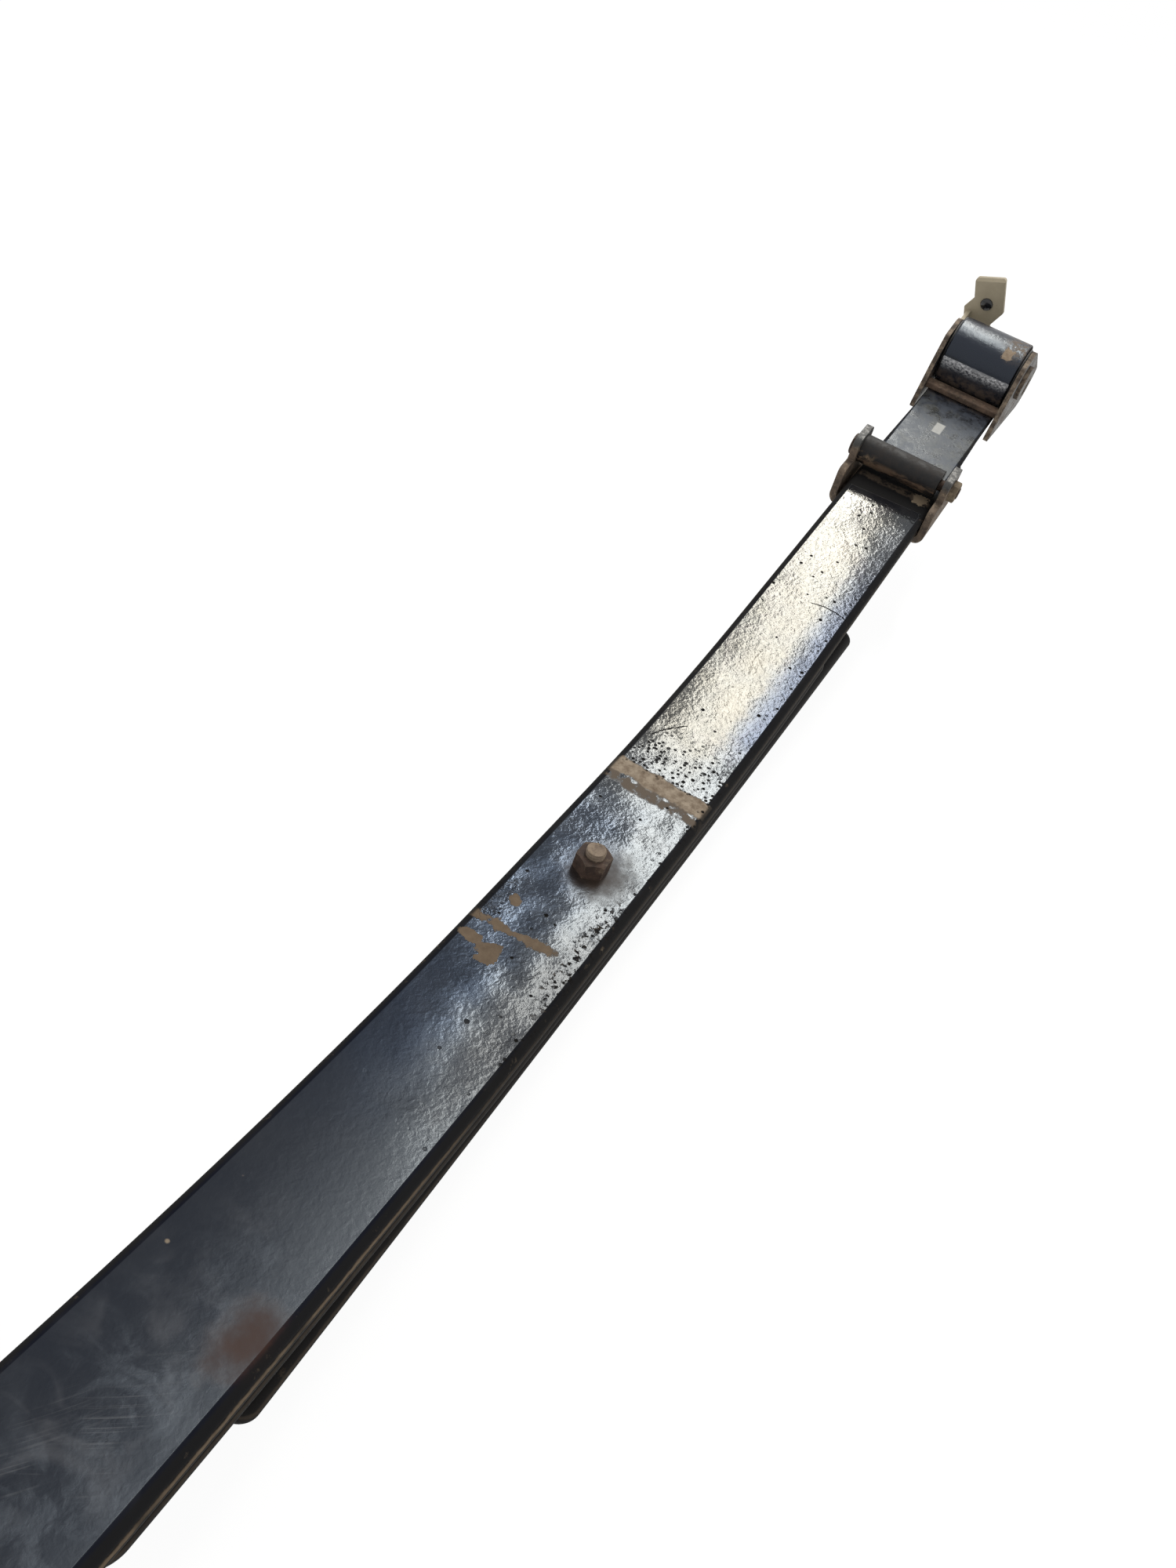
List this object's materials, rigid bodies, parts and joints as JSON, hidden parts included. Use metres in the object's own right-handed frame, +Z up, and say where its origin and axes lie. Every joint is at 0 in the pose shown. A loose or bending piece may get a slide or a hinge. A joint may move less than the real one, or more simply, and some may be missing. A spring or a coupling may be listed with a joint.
{
  "type": "leaf spring",
  "caption": "Multi-leaf suspension spring with rolled eyes, rebound clips, centre bolt, rubber bushes and a swinging rear shackle.",
  "frame": {"origin": "on the centre bolt's axis, at the seat face under the overload leaf", "axes": "+X along the spring towards the shackle end, +Y to the left, +Z up, square to the seat"},
  "size_m": [1.3386, 0.0828, 0.2066],
  "materials": {
    "spring_paint": "worn gloss black paint with scratches, pits and rust along the edges",
    "rusty_steel": "brown surface rust",
    "tube_steel": "dusty dark grey-brown paint",
    "bush_steel": "dull steel",
    "bush_rubber": "matt dusty rubber",
    "shackle_steel": "dark paint with bare tan edges",
    "bracket_paint": "satin olive-tan passivated plate",
    "dark_plastic": "glossy black",
    "button_plastic": "matt dark grey"
  },
  "bodies": {
    "spring_pack": {"main_leaf": "spring_paint", "second_leaf": "spring_paint", "third_leaf": "spring_paint", "overload_leaf": "spring_paint", "second_leaf_buttons": "button_plastic", "third_leaf_buttons": "button_plastic", "centre_bolt": "rusty_steel", "centre_nut": "rusty_steel", "front_bush_shell": "bush_steel", "front_bush_rubber": "bush_rubber", "rear_bush_shell": "bush_steel", "rear_bush_rubber_left": "bush_rubber", "rear_bush_rubber_right": "bush_rubber", "rear_clip_strap": "rusty_steel", "rear_clip_tube": "tube_steel", "rear_clip_bolt": "rusty_steel", "rear_clip_nut": "rusty_steel", "rear_clip_rivet": "rusty_steel", "front_clip_strap": "rusty_steel", "front_clip_tube": "tube_steel", "front_clip_bolt": "rusty_steel", "front_clip_nut": "rusty_steel", "front_clip_rivet": "rusty_steel"},
    "shackle": {"shackle_plate_left": "shackle_steel", "shackle_plate_right": "shackle_steel", "shackle_web": "shackle_steel", "shackle_pin": "shackle_steel", "shackle_pin_collar": "shackle_steel", "cable_bracket": "bracket_paint", "bracket_rivet": "shackle_steel", "bracket_plug": "dark_plastic", "rear_bush_sleeve": "bush_steel"},
    "front_sleeve": {"front_bush_sleeve": "bush_steel"}
  },
  "joints": [
    {"name": "shackle_swing", "type": "hinge", "parent": "spring_pack", "child": "shackle", "pos_m": [0.588, 0, 0.13483], "axis": [0, 1, 0], "range_deg": [0, 95]},
    {"name": "front_bush_twist", "type": "hinge", "parent": "spring_pack", "child": "front_sleeve", "pos_m": [-0.64, 0, 0.1662], "axis": [0, 1, 0], "range_deg": [-25, 25], "stiffness_Nm_per_rad": 20}
  ]
}
